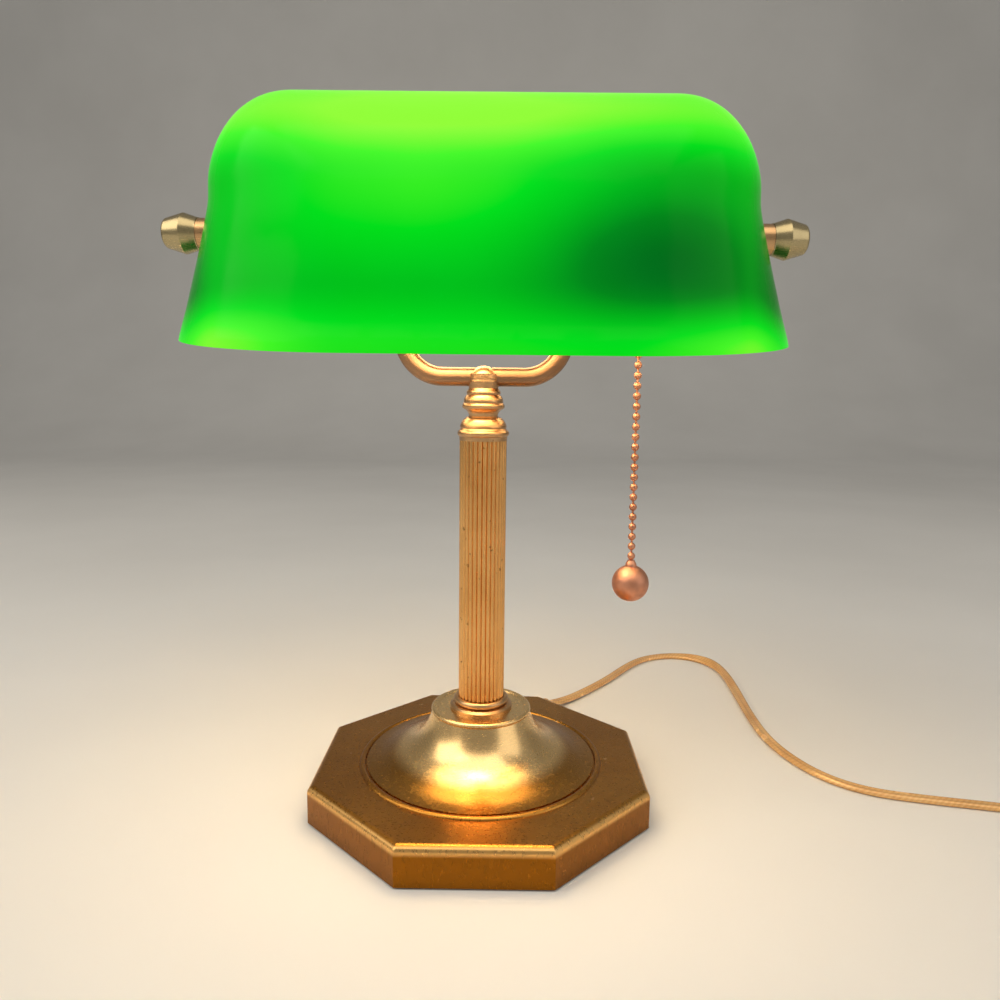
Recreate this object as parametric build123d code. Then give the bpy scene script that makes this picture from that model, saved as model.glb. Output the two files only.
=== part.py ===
from build123d import *
import math
import os

# Banker's desk lamp: octagonal brass base, reeded column, U-shaped yoke and a tilting cased-glass shade.
# Millimetres, +Z up. The origin is on the column's axis, on the surface that the lamp stands on.
# +X points to the pull-chain side and -Y to the front.

# ---------------------------------------------------------------- driving dimensions

# Base
BASE_CORNER_R = 76.85            # octagon, centre to corner
BASE_APOTHEM = BASE_CORNER_R * math.cos(math.pi / 8)
BASE_TOP_Z = 16.9
BASE_BOTTOM_Z = 0.8              # brass stands just clear; the felt carries the lamp
BASE_WALL = 1.4
BASE_EDGE_R = 3.0
BASE_RING_R = 52.2               # raised ring pressed into the top
BASE_RING_SECTION_R = 1.5
BASE_HOLE_R = 36.0               # opening in the top, under the bell
FELT_T = 2.6
WEIGHT_POCKET_R = 13.5
WEIGHT_POCKET_TOP_Z = 9.0

# Bell on the base
BELL_FLANGE_R = 50.3
BELL_SHOULDER_R = 21.8
BELL_TOP_Z = 41.2
BELL_WALL = 1.1

# Column
COLUMN_R = 10.0
COLUMN_BORE_R = 7.4
COLUMN_BOTTOM_Z = 44.5
COLUMN_TOP_Z = 158.9
REEDS = 30
REED_R = 1.02
ROD_R = 5.1                      # 1/8 IP lamp pipe
ROD_BORE_R = 3.3
FIT = 0.05                       # clearance between a bore and what goes through it

# Yoke
TEE_AXIS_Z = 185.4
TEE_R = 6.7
TEE_TOP_Z = 193.4
ARM_R = 3.95
ARM_BORE_R = 2.9
ARM_X = 33.6                     # upright legs
ARM_BEND_R = 16.5
ARM_TOP_Z = 209.6
ARM_NUT_FLATS = 12.7
ARM_NUT_T = 3.2
STRAP_WIDTH = 12.7
STRAP_T = 1.6
STRAP_Z = 204.0                  # underside
STRAP_END_X = 105.3              # outer face of the upturned ends
SCREW_X = (79.5, 86.0)           # screws that hold the socket's bracket

# Shade, about the knob axis
KNOB_AXIS_Z = 242.0
REST_TILT = 7.8                  # degrees, front edge down
SHADE_DROP = 41.0                # knob axis to the open edge
SHADE_RISE = 52.4                # knob axis to the top
SHADE_HALF_LENGTH = 109.1        # at the upright part of the ends
SHADE_END_FLARE = 15.9
SHADE_END_TOP = 11.6             # where the ends turn in
SHADE_FLAT_HALF_LENGTH = 75.2    # straight ridge
SHADE_HALF_DEPTH = 57.0
SHADE_FRONT_FLARE = 11.0
SHADE_VAULT_START = -2.0
SHADE_END_BULGE = 1.14           # rounded ends: their length over the half depth
FLARE_POWER = 1.09
GREEN_T = 2.2
GLASS_T = 3.6
GLASS_HOLE_R = 4.0

# Knobs
KNOB_OUTER_X = 130.8
KNOB_INNER_X = 116.7
WASHER_R = 6.2
KNOB_MAX_R = 8.15
STUD_R = 2.4
STUD_INNER_X = 103.4

# Socket and bulb, lying on the knob axis and pointing to -X
SOCKET_MOUTH_X = 34.0
SOCKET_SEAM_X = 72.0
SOCKET_CAP_X = 87.0
SOCKET_R = 16.5
SOCKET_WALL = 0.8
NIPPLE_END_X = 97.5
BRACKET_X = 92.4                 # inner face of the upright plate
BRACKET_T = 1.6
BULB_R = 30.0
BULB_CENTRE_X = -19.0

# Pull chain
CHAIN_X = 62.7
CHAIN_LEAN = 28.0                # degrees: mouth of the switch turned forward from straight down
CHAIN_PIVOT_OUT = 22.5           # socket axis to the point where the chain turns down
BEAD_R = 1.6
LINK_R = 0.45
BEAD_PITCH = 4.15
TOP_BEADS = 2
MAIN_BEADS = 25
LAST_BEAD_Z = 111.9
BALL_R = 7.7
BALL_Z = 100.3

# Flat twin cord
CORD_WIDTH = 5.3
CORD_T = 2.7
CORD_EXIT = Vector(18.0, BASE_APOTHEM, 7.2)
COIL_CENTRE = (268.0, -54.0)
COIL_MEAN_R = 31.4
COIL_RING_WIDTH = 18.6
COIL_HEIGHT = 8.6
TAIL_LENGTH = 33.0
CORD_ROUTE = [
    (34.2, 87.3, 4.6),
    (43.5, 96.6, 2.6),
    (54.5, 109.0, 1.4),
    (74.0, 132.5, 1.4),
    (90.0, 157.0, 1.4),
    (102.0, 171.0, 1.4),
    (114.7, 177.9, 1.4),
    (127.8, 179.0, 1.4),
    (139.5, 173.6, 1.4),
    (147.3, 162.3, 1.4),
    (150.5, 144.5, 1.4),
    (149.5, 115.0, 1.4),
    (147.6, 84.0, 1.4),
    (147.2, 57.0, 1.4),
    (151.3, 34.5, 1.4),
    (160.5, 14.5, 1.4),
    (175.5, 1.5, 1.4),
    (198.0, -4.5, 1.4),
    (224.0, -9.5, 1.4),
    (247.0, -14.5, 1.4),
    (262.0, -16.4, 1.4),
]

# Plug
PLUG_LENGTH = 27.0
PLUG_WIDTH = 23.0
PLUG_T = 13.0
BLADE_LENGTH = 17.0
BLADE_WIDTH = 6.3
BLADE_T = 1.5
BLADE_SPACING = 12.7

parts = {}


# ---------------------------------------------------------------- helpers

def turned(points):
    """Solid of revolution of a closed (radius, height) outline about Z."""
    outline = make_face(Polyline([(r, 0, z) for r, z in points], close=True))
    return revolve(outline, Axis.Z)


def outline_face(*pieces):
    """Face inside an outline made of joined lines and curves."""
    return make_face(Wire([edge for piece in pieces for edge in piece.edges()]))


def turned_wire(*pieces):
    """Solid of revolution of an outline made of lines and curves in the XZ plane."""
    return revolve(outline_face(*pieces), Axis.Z)


def tube(radius, bore, z0, z1):
    """Upright tube about Z."""
    ring = Circle(radius) - Circle(bore)
    return Pos(0, 0, z0) * extrude(ring, z1 - z0)


def rod_z(radius, z0, z1, x=0.0, y=0.0):
    """Upright round bar."""
    return Pos(x, y, z0) * extrude(Circle(radius), z1 - z0)


def rod_x(radius, x0, x1, y=0.0, z=0.0):
    """Round bar along X."""
    return Pos(x0, y, z) * Rot(0, 90, 0) * extrude(Circle(radius), x1 - x0)


def block(low, high):
    """Box between two corners."""
    size = [b - a for a, b in zip(low, high)]
    centre = [(a + b) / 2 for a, b in zip(low, high)]
    return Pos(*centre) * Box(*size)


def hex_nut(flats, bore, z0, height, x=0.0, y=0.0):
    """Hexagonal nut about an upright axis."""
    outline = RegularPolygon(flats / 2, 6, major_radius=False) - Circle(bore)
    return Pos(x, y, z0) * extrude(outline, height)


def octagon(apothem, z0, z1):
    """Octagonal slab with a flat towards the front."""
    outline = RegularPolygon(apothem, 8, major_radius=False, rotation=22.5)
    return Pos(0, 0, z0) * extrude(outline, z1 - z0)


def lying(solid, x0):
    """Lay a solid turned about Z along +X, its z=0 at x0 on the knob axis."""
    return Pos(x0, 0, KNOB_AXIS_Z) * Rot(0, 90, 0) * solid


def mirrored(solid):
    """The same solid on the other side of the column."""
    return mirror(solid, Plane.YZ)


def both_sides(solid):
    """A solid and its mirror image, in one node."""
    return Compound([*solid.solids(), *mirrored(solid).solids()])


# ---------------------------------------------------------------- base

def make_base():
    shell = octagon(BASE_APOTHEM, BASE_BOTTOM_Z, BASE_TOP_Z)
    shell = fillet(shell.edges().filter_by(Axis.Z), 0.7)
    shell = fillet(shell.faces().sort_by(Axis.Z)[-1].edges(), BASE_EDGE_R)
    shell -= octagon(BASE_APOTHEM - BASE_WALL, -1, BASE_TOP_Z - BASE_WALL)
    ring = Pos(0, 0, BASE_TOP_Z - 0.35) * Torus(BASE_RING_R, BASE_RING_SECTION_R)
    shell += ring - block((-60, -60, 0), (60, 60, BASE_TOP_Z - 0.5))
    shell -= rod_z(BASE_HOLE_R, 0, 30)
    cord_hole = Pos(CORD_EXIT.X, CORD_EXIT.Y - 4, CORD_EXIT.Z) * Rot(-90, 0, 0) * extrude(Circle(4.2), 8)
    parts["base_shell"] = shell - cord_hole

    parts["base_felt_pad"] = octagon(BASE_APOTHEM - BASE_WALL - 0.4, 0, FELT_T)

    weight = octagon(BASE_APOTHEM - BASE_WALL - 0.6, FELT_T, BASE_TOP_Z - BASE_WALL)
    weight -= rod_z(ROD_R + 0.3, 0, 30)
    weight -= rod_z(WEIGHT_POCKET_R, 0, WEIGHT_POCKET_TOP_Z)
    weight -= block((CORD_EXIT.X - 5.5, 0, 0), (CORD_EXIT.X + 5.5, 80, 12.0))
    weight -= block((-4.5, -4.5, 0), (CORD_EXIT.X, 4.5, WEIGHT_POCKET_TOP_Z))
    parts["base_weight"] = weight

    parts["base_washer"] = tube(12.0, ROD_R + FIT, 7.8, WEIGHT_POCKET_TOP_Z)
    parts["base_locknut"] = hex_nut(15.9, ROD_R + FIT, 3.8, 4.0)


def make_bell():
    outer = Spline(
        (BELL_SHOULDER_R - 0.3, 0, 39.2), (23.7, 0, 33.6), (27.2, 0, 28.3), (32.6, 0, 24.0), (40.0, 0, 20.8),
        (BELL_FLANGE_R, 0, 17.8),
        tangents=((0.35, 0, -1), (1, 0, -0.14)),
    )
    inner = Spline(
        (BELL_SHOULDER_R - 0.3 - BELL_WALL, 0, 38.9), (22.6, 0, 33.0), (26.3, 0, 27.4), (32.1, 0, 22.8),
        (39.7, 0, 19.6),
        (46.0, 0, BASE_TOP_Z),
        tangents=((0.35, 0, -1), (1, 0, -0.35)),
    )
    bead_start = (20.3, 0, BELL_TOP_Z)
    outline = [
        outer,
        Line(outer @ 1, (BELL_FLANGE_R, 0, BASE_TOP_Z)),
        Line((BELL_FLANGE_R, 0, BASE_TOP_Z), inner @ 1),
        inner,
        Polyline(inner @ 0, (19.6, 0, 39.9), (ROD_R + FIT, 0, 39.9), (ROD_R + FIT, 0, BELL_TOP_Z - 0.4),
                 (18.9, 0, BELL_TOP_Z - 0.4), (19.3, 0, BELL_TOP_Z), bead_start),
        ThreePointArc(bead_start, (BELL_SHOULDER_R + 0.1, 0, 40.6), outer @ 0),
    ]
    parts["base_bell"] = turned_wire(*outline)


# ---------------------------------------------------------------- column

def make_column():
    ring_centre_r = 10.6
    foot = turned([
        (ROD_R + FIT, BELL_TOP_Z - 0.4), (13.6, BELL_TOP_Z - 0.4), (13.6, 42.0), (12.6, 42.8), (10.6, 43.2),
        (10.6, 46.0), (10.1, 46.0), (10.1, COLUMN_BOTTOM_Z), (ROD_R + FIT, COLUMN_BOTTOM_Z),
    ])
    bead = Pos(0, 0, 44.6) * Torus(ring_centre_r, 1.45)
    parts["column_foot"] = foot + (bead - rod_z(10.1, 40, 50))

    reed = PolarLocations(COLUMN_R - REED_R, REEDS) * Circle(REED_R)
    section = Circle(COLUMN_R - REED_R) + reed - Circle(COLUMN_BORE_R)
    parts["column_tube"] = Pos(0, 0, COLUMN_BOTTOM_Z) * extrude(section, COLUMN_TOP_Z - COLUMN_BOTTOM_Z)

    parts["threaded_rod"] = tube(ROD_R, ROD_BORE_R, 3.6, 174.0)

    neck_z = 169.0
    skirt = Polyline((ROD_R + FIT, 0, neck_z), (ROD_R + FIT, 0, COLUMN_TOP_Z), (10.1, 0, COLUMN_TOP_Z),
                     (10.2, 0, 160.6))
    bead_1 = ThreePointArc((10.2, 0, 160.6), (10.95, 0, 161.9), (10.0, 0, 163.3))
    groove = Polyline((10.0, 0, 163.3), (9.6, 0, 164.0), (9.9, 0, 164.6))
    dome = ThreePointArc((9.9, 0, 164.6), (9.0, 0, 166.9), (6.2, 0, neck_z))
    end = Line((6.2, 0, neck_z), (ROD_R + FIT, 0, neck_z))
    parts["column_collar"] = turned_wire(skirt, bead_1, groove, dome, end)

    vase_top = 180.7
    inside = Polyline(
        (6.2, 0, vase_top), (ROD_R + FIT, 0, vase_top), (ROD_R + FIT, 0, neck_z), (6.1, 0, neck_z),
    )
    cove = ThreePointArc((6.1, 0, neck_z), (6.7, 0, 170.9), (8.1, 0, 172.0))
    bead_2 = ThreePointArc((8.1, 0, 172.0), (8.95, 0, 173.3), (8.2, 0, 174.5))
    cup = ThreePointArc((8.2, 0, 174.5), (8.1, 0, 176.4), (6.9, 0, 178.0))
    ring = ThreePointArc((6.9, 0, 178.0), (7.15, 0, 179.1), (6.6, 0, 180.0))
    lip = Line((6.6, 0, 180.0), (6.2, 0, vase_top))
    parts["yoke_vase"] = turned_wire(inside, cove, bead_2, cup, ring, lip)


# ---------------------------------------------------------------- yoke

def make_yoke():
    crown_z = TEE_TOP_Z - TEE_R
    outline = turned([(0, 174.2), (ROD_R - 0.1, 174.2), (ROD_R - 0.1, 180.7), (6.2, 180.7), (TEE_R, 184.6),
                      (TEE_R, crown_z), (0, crown_z)])
    tee = outline + Pos(0, 0, crown_z) * Sphere(TEE_R, arc_size1=0)
    tee -= rod_z(ROD_BORE_R - 0.3, 170.0, TEE_AXIS_Z)
    parts["yoke_tee"] = tee - rod_x(ARM_R + FIT, -20, 20, z=TEE_AXIS_Z)

    path = FilletPolyline(
        (3.4, 0, TEE_AXIS_Z), (ARM_X, 0, TEE_AXIS_Z), (ARM_X, 0, ARM_TOP_Z), radius=ARM_BEND_R,
    )
    ring = Plane(origin=path @ 0, z_dir=path % 0) * (Circle(ARM_R) - Circle(ARM_BORE_R))
    arm = sweep(ring, path)
    parts["yoke_arm_right"] = arm
    parts["yoke_arm_left"] = mirrored(arm)

    lower = hex_nut(ARM_NUT_FLATS, ARM_R + FIT, STRAP_Z - ARM_NUT_T, ARM_NUT_T, x=ARM_X)
    upper = hex_nut(ARM_NUT_FLATS, ARM_R + FIT, STRAP_Z + STRAP_T, ARM_NUT_T, x=ARM_X)
    parts["yoke_arm_nuts"] = both_sides(Compound([lower, upper]))


def make_strap():
    top = KNOB_AXIS_Z + 7.0
    bend = 4.0
    outside = FilletPolyline(
        (-STRAP_END_X, 0, top), (-STRAP_END_X, 0, STRAP_Z), (STRAP_END_X, 0, STRAP_Z), (STRAP_END_X, 0, top),
        radius=bend,
    )
    inner_x = STRAP_END_X - STRAP_T
    inner_z = STRAP_Z + STRAP_T
    inside = FilletPolyline(
        (-inner_x, 0, top), (-inner_x, 0, inner_z), (inner_x, 0, inner_z), (inner_x, 0, top),
        radius=bend - STRAP_T,
    )
    outline = outline_face(outside, inside, Line(outside @ 0, inside @ 0), Line(outside @ 1, inside @ 1))
    strap = extrude(outline, STRAP_WIDTH / 2, both=True)
    corners = strap.edges().filter_by(Axis.X).group_by(Axis.Z)[-1]
    strap = fillet(corners, STRAP_WIDTH / 2 - 0.1)
    strap -= rod_x(STUD_R + FIT, -120, 120, z=KNOB_AXIS_Z)
    for x in (-ARM_X, ARM_X):
        strap -= rod_z(ARM_R + FIT, 190, 220, x=x)
    for x in SCREW_X:
        strap -= rod_z(2.0 + FIT, 190, 220, x=x)
    parts["shade_strap"] = strap


def make_socket_bracket():
    foot_z = STRAP_Z + STRAP_T
    half_width = STRAP_WIDTH / 2
    outer_x = BRACKET_X + BRACKET_T
    foot = block((75.5, -half_width, foot_z), (outer_x, half_width, foot_z + BRACKET_T))
    upright = block((BRACKET_X, -half_width, foot_z), (outer_x, half_width, KNOB_AXIS_Z + 8.5))
    bracket = foot + upright - rod_x(ROD_R + FIT, 80, 110, z=KNOB_AXIS_Z)
    screws = []
    for x in SCREW_X:
        bracket -= rod_z(2.0 + FIT, 190, 220, x=x)
        shank = rod_z(2.0, STRAP_Z - 3.6, foot_z + BRACKET_T, x=x)
        head = rod_z(3.1, foot_z + BRACKET_T, foot_z + BRACKET_T + 1.9, x=x)
        head = fillet(head.edges().group_by(Axis.Z)[-1], 0.9)
        slot = block((x - 4, -0.4, foot_z + BRACKET_T + 1.1), (x + 4, 0.4, foot_z + BRACKET_T + 3))
        screws.append(shank + head - slot)
        screws.append(hex_nut(6.2, 2.0 + FIT, STRAP_Z - 2.8, 2.8, x=x))
    parts["socket_bracket"] = bracket
    parts["bracket_screws"] = Compound([s for item in screws for s in item.solids()])


# ---------------------------------------------------------------- socket and bulb

def chain_axis(out):
    """Point at a distance from the socket's axis along the switch mouth's direction."""
    lean = math.radians(CHAIN_LEAN)
    return Vector(CHAIN_X, -out * math.sin(lean), KNOB_AXIS_Z - out * math.cos(lean))


def along_chain_axis(solid, out):
    """Place a solid turned about +Z so that +Z points out of the switch mouth."""
    return Pos(*chain_axis(out)) * Rot(180 - CHAIN_LEAN, 0, 0) * solid


def chain_bore(radius, out0, out1):
    return along_chain_axis(extrude(Circle(radius), out1 - out0), out0)


def make_socket():
    length = SOCKET_SEAM_X - SOCKET_MOUTH_X
    shell = turned([
        (SOCKET_R - 1.3, 0), (SOCKET_R - 0.5, 0), (SOCKET_R, 0.8), (SOCKET_R - 0.4, 2.0),
        (SOCKET_R - 0.4, 6.0), (SOCKET_R, 7.0), (SOCKET_R, length), (SOCKET_R - SOCKET_WALL, length),
        (SOCKET_R - SOCKET_WALL, 7.6), (SOCKET_R - 1.3, 6.6),
    ])
    parts["socket_shell"] = lying(shell, SOCKET_MOUTH_X) - chain_bore(3.3, 10, 30)

    liner = turned([
        (14.1, 1.0), (15.1, 1.0), (15.1, 6.4), (15.5, 8.4), (15.5, length - 0.5), (14.1, length - 0.5),
    ])
    parts["socket_liner"] = lying(liner, SOCKET_MOUTH_X) - chain_bore(3.3, 10, 30)

    core = turned([(0, 19.0), (13.9, 19.0), (13.9, length - 1.0), (0, length - 1.0)])
    parts["switch_body"] = lying(core, SOCKET_MOUTH_X) - chain_bore(2.6, 4, 30)

    thread = turned([(13.45, 1.5), (13.9, 1.5), (13.9, 18.6), (13.0, 18.6), (13.0, 18.2), (13.45, 18.2)])
    parts["screw_shell"] = lying(thread, SOCKET_MOUTH_X)
    contact = turned([(0, 17.4), (2.6, 17.4), (2.6, 19.0), (0, 19.0)])
    parts["centre_contact"] = lying(contact, SOCKET_MOUTH_X)

    cap_length = SOCKET_CAP_X - SOCKET_SEAM_X
    outside = [
        Line((SOCKET_R, 0, 0), (SOCKET_R, 0, 3.0)),
        ThreePointArc((SOCKET_R, 0, 3.0), (13.6, 0, 10.0), (7.0, 0, 13.2)),
        Polyline((7.0, 0, 13.2), (6.6, 0, cap_length), (ROD_R + FIT, 0, cap_length), (ROD_R + FIT, 0, 12.2),
                 (6.6, 0, 12.2)),
        ThreePointArc((6.6, 0, 12.2), (13.0, 0, 9.4), (SOCKET_R - SOCKET_WALL, 0, 3.0)),
        Polyline((SOCKET_R - SOCKET_WALL, 0, 3.0), (SOCKET_R - SOCKET_WALL, 0, 0), (SOCKET_R, 0, 0)),
    ]
    parts["socket_cap"] = lying(turned_wire(*outside), SOCKET_SEAM_X)
    parts["socket_nipple"] = lying(tube(ROD_R, ROD_BORE_R, 0, NIPPLE_END_X - 84.6), 84.6)
    inner_nut = hex_nut(13.5, ROD_R + FIT, 0, 3.0)
    outer_nut = hex_nut(13.5, ROD_R + FIT, 0, 3.0)
    outer_x = BRACKET_X + BRACKET_T
    parts["nipple_nuts"] = Compound([lying(inner_nut, BRACKET_X - 3.0), lying(outer_nut, outer_x)])

    mouth = turned([(2.2, 0), (3.1, 0), (3.1, 5.6), (4.3, 8.0), (4.3, 8.7), (3.7, 8.7), (2.2, 5.8)])
    parts["chain_mouth"] = along_chain_axis(mouth, CHAIN_PIVOT_OUT + 1.0 - 8.7)


def make_bulb():
    base_length = 17.0
    thread = [(0.0, 0.0), (2.2, 0.0), (4.5, 1.8), (12.2, 3.6)]
    for turn in range(4):
        z = 4.6 + 2.8 * turn
        thread += [(13.0, z + 0.5), (13.0, z + 0.9), (12.4, z + 1.9)]
    thread += [(13.0, base_length), (12.2, base_length), (12.2, 4.6), (0, 4.6)]
    cap = turned(thread)
    cap_x = SOCKET_MOUTH_X + 17.2
    parts["bulb_cap"] = Pos(cap_x, 0, KNOB_AXIS_Z) * Rot(0, -90, 0) * cap

    neck_z = 16.6
    centre_z = cap_x - BULB_CENTRE_X
    wall = 0.8

    def envelope(inset):
        radius = BULB_R - inset
        low = (12.0 - inset, 0, neck_z)
        meet_angle = math.radians(-28)
        meet = (radius * math.cos(meet_angle), 0, centre_z + radius * math.sin(meet_angle))
        meet_tangent = (math.sin(-meet_angle), 0, math.cos(meet_angle))
        side = Spline(low, (15.2 - inset, 0, 31.0), meet, tangents=((0.02, 0, 1), meet_tangent))
        halfway = (radius * math.cos(0.6), 0, centre_z + radius * math.sin(0.6))
        dome = ThreePointArc(meet, halfway, (0, 0, centre_z + radius))
        close = Polyline((0, 0, centre_z + radius), (0, 0, neck_z), low)
        return turned_wire(side, dome, close)

    glass = envelope(0) - envelope(wall)
    parts["bulb_glass"] = Pos(cap_x, 0, KNOB_AXIS_Z) * Rot(0, -90, 0) * glass

    stem = turned([(0, neck_z), (8.0, neck_z), (4.0, 22.0), (2.6, 34.0), (2.0, 46.0), (0, 47.0)])
    parts["bulb_stem"] = Pos(cap_x, 0, KNOB_AXIS_Z) * Rot(0, -90, 0) * stem
    posts = rod_z(0.35, 40.0, 66.0, x=0, y=9) + rod_z(0.35, 40.0, 66.0, x=0, y=-9)
    feet = Pos(0, 0, 40.0) * Rot(90, 0, 0) * extrude(Circle(0.35), 9.35, both=True)
    coil = Pos(0, 0, 66.0) * Rot(90, 0, 0) * extrude(Circle(0.8), 9.8, both=True)
    parts["bulb_filament"] = Pos(cap_x, 0, KNOB_AXIS_Z) * Rot(0, -90, 0) * (posts + feet + coil - stem)


def make_lead():
    route = [
        (NIPPLE_END_X - 5.0, 0, KNOB_AXIS_Z),
        (NIPPLE_END_X + 3.6, 0.4, KNOB_AXIS_Z - 0.4),
        (101.0, 5.5, 232.5),
        (99.2, 10.5, 222.0),
        (92.0, 12.0, 213.5),
        (72.0, 11.0, 211.0),
        (50.0, 8.0, 213.0),
        (34.0, 0.8, 217.0),
        (ARM_X, 0, ARM_TOP_Z - 9.0),
    ]
    path = smooth_path(route)
    section = Plane(origin=path @ 0, z_dir=path % 0) * Circle(1.4)
    parts["socket_lead"] = sweep(section, path)


# ---------------------------------------------------------------- shade

def shade_section(height, inset):
    """Plan of the shade at a height from the knob axis: straight sides between half-elliptical ends."""
    if height > SHADE_END_TOP:
        rise = (height - SHADE_END_TOP) / (SHADE_RISE - SHADE_END_TOP - inset)
        turn_in = SHADE_HALF_LENGTH - SHADE_FLAT_HALF_LENGTH - inset
        half_length = SHADE_FLAT_HALF_LENGTH + turn_in * math.sqrt(1 - rise ** 2)
    else:
        flare = ((SHADE_END_TOP - height) / (SHADE_END_TOP + SHADE_DROP)) ** FLARE_POWER
        half_length = SHADE_HALF_LENGTH - inset + SHADE_END_FLARE * flare
    if height > SHADE_VAULT_START:
        rise = (height - SHADE_VAULT_START) / (SHADE_RISE - SHADE_VAULT_START - inset)
        half_depth = (SHADE_HALF_DEPTH - inset) * math.sqrt(1 - rise ** 2)
    else:
        flare = ((SHADE_VAULT_START - height) / (SHADE_VAULT_START + SHADE_DROP)) ** FLARE_POWER
        half_depth = SHADE_HALF_DEPTH - inset + SHADE_FRONT_FLARE * flare
    bulge = SHADE_END_BULGE - 0.19 * max(0.0, height / SHADE_RISE) ** 2
    end_length = bulge * half_depth
    straight = half_length - end_length
    front = Line((straight, half_depth), (-straight, half_depth))
    left_end = EllipticalCenterArc((-straight, 0), end_length, half_depth, 90, arc_size=180)
    right_end = EllipticalCenterArc((straight, 0), end_length, half_depth, -90, arc_size=180)
    back = Line((-straight, -half_depth), (straight, -half_depth))
    return Pos(0, 0, height) * outline_face(front, left_end, back, right_end)


def shade_form(inset):
    """Solid dome from the open edge to the ridge, set in by a wall thickness."""
    top = SHADE_RISE - inset
    steps = 15
    sections = []
    for step in range(steps + 1):
        # the levels crowd together towards the ridge, where the dome closes fast
        share = math.sin(math.pi / 2 * step / steps * 0.955)
        sections.append(shade_section(-SHADE_DROP + (top + SHADE_DROP) * share, inset))
    return loft(sections)


def tilted(solid):
    """Turn a solid from the level position to its resting tilt about the knob axis."""
    return Pos(0, 0, KNOB_AXIS_Z) * Rot(REST_TILT, 0, 0) * solid


def make_shade():
    outer = shade_form(0)
    middle = shade_form(GREEN_T)
    inner = shade_form(GLASS_T)
    holes = rod_x(GLASS_HOLE_R, -140, 140)
    parts["shade_glass_green"] = tilted(outer - middle - holes)
    parts["shade_glass_opal"] = tilted(middle - inner - holes)

    flange = rod_x(WASHER_R, STRAP_END_X + 0.4, SHADE_HALF_LENGTH + 6) & inner
    sleeve = rod_x(GLASS_HOLE_R, STRAP_END_X + 0.4, KNOB_INNER_X - 1.5)
    grommet = flange + sleeve - rod_x(STUD_R + FIT, 100, 120)
    washer = rod_x(WASHER_R, SHADE_HALF_LENGTH, KNOB_INNER_X - 0.1) - outer - rod_x(GLASS_HOLE_R, 100, 120)
    parts["shade_grommets"] = both_sides(tilted(grommet))
    parts["shade_washers"] = both_sides(tilted(washer))


def make_knobs():
    length = KNOB_OUTER_X - KNOB_INNER_X
    hole = 7.0
    ridge = 5.9
    outline = [
        Polyline((0, 0, hole), (STUD_R, 0, hole), (STUD_R, 0, 0), (6.4, 0, 0), (6.4, 0, 0.4),
                 (8.0, 0, ridge - 0.6)),
        ThreePointArc((8.0, 0, ridge - 0.6), (KNOB_MAX_R, 0, ridge), (8.0, 0, ridge + 0.6)),
        Line((8.0, 0, ridge + 0.6), (6.2, 0, length - 1.6)),
        ThreePointArc((6.2, 0, length - 1.6), (5.6, 0, length - 0.5), (4.4, 0, length)),
        Polyline((4.4, 0, length), (0, 0, length), (0, 0, hole)),
    ]
    knob = lying(turned_wire(*outline), KNOB_INNER_X)
    stud = lying(rod_z(STUD_R, 0, KNOB_INNER_X + hole - STUD_INNER_X), STUD_INNER_X)
    parts["knob_right"] = knob
    parts["knob_left"] = mirrored(knob)
    parts["knob_stud_right"] = stud
    parts["knob_stud_left"] = mirrored(stud)


# ---------------------------------------------------------------- pull chain

def make_chain():
    inner = chain_bore(LINK_R, 11.0, CHAIN_PIVOT_OUT - 0.35)
    for out in (12.3, 16.45, 20.6):
        inner += Pos(*chain_axis(out)) * Sphere(BEAD_R)
    parts["chain_inner"] = inner

    pivot = chain_axis(CHAIN_PIVOT_OUT)
    hinge_z = pivot.Z - 0.35 - TOP_BEADS * BEAD_PITCH
    top = rod_z(LINK_R, hinge_z + 0.35, pivot.Z - 0.35, x=pivot.X, y=pivot.Y)
    for bead in range(TOP_BEADS):
        top += Pos(pivot.X, pivot.Y, pivot.Z - 2.3 - bead * BEAD_PITCH) * Sphere(BEAD_R)
    parts["chain_top"] = top

    first_z = hinge_z - 2.1
    pitch = (first_z - LAST_BEAD_Z) / (MAIN_BEADS - 1)
    coupling_top = LAST_BEAD_Z - BEAD_R - 0.2
    main = rod_z(LINK_R, coupling_top, hinge_z - 0.35, x=pivot.X, y=pivot.Y)
    for bead in range(MAIN_BEADS):
        main += Pos(pivot.X, pivot.Y, first_z - bead * pitch) * Sphere(BEAD_R)
    parts["chain_main"] = main

    ball_flat_z = BALL_Z + BALL_R - 0.5
    ball = Pos(pivot.X, pivot.Y, BALL_Z) * Sphere(BALL_R)
    parts["chain_ball"] = ball - block((0, -60, ball_flat_z), (120, 60, ball_flat_z + 10))
    coupling = turned([
        (0, ball_flat_z), (2.4, ball_flat_z), (2.2, ball_flat_z + 1.2), (1.5, coupling_top),
        (0, coupling_top),
    ])
    parts["chain_coupling"] = Pos(pivot.X, pivot.Y, 0) * coupling
    print(f"chain: pivot {pivot}, second hinge z {hinge_z:.3f}, pitch {pitch:.3f}")
    print(f"switch mouth direction {chain_axis(1) - chain_axis(0)}")


# ---------------------------------------------------------------- cord

def smooth_path(points):
    """Straight runs joined by arcs as large as the runs allow."""
    vectors = [Vector(*p) for p in points]
    radii = []
    for before, here, after in zip(vectors, vectors[1:], vectors[2:]):
        half_turn = math.radians((here - before).get_angle(after - here)) / 2
        shorter = min((here - before).length, (after - here).length)
        radii.append(0.45 * shorter / math.tan(half_turn))
    print("bend radii:", ", ".join(f"{r:.0f}" for r in radii))
    return FilletPolyline(*vectors, radius=radii)


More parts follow.
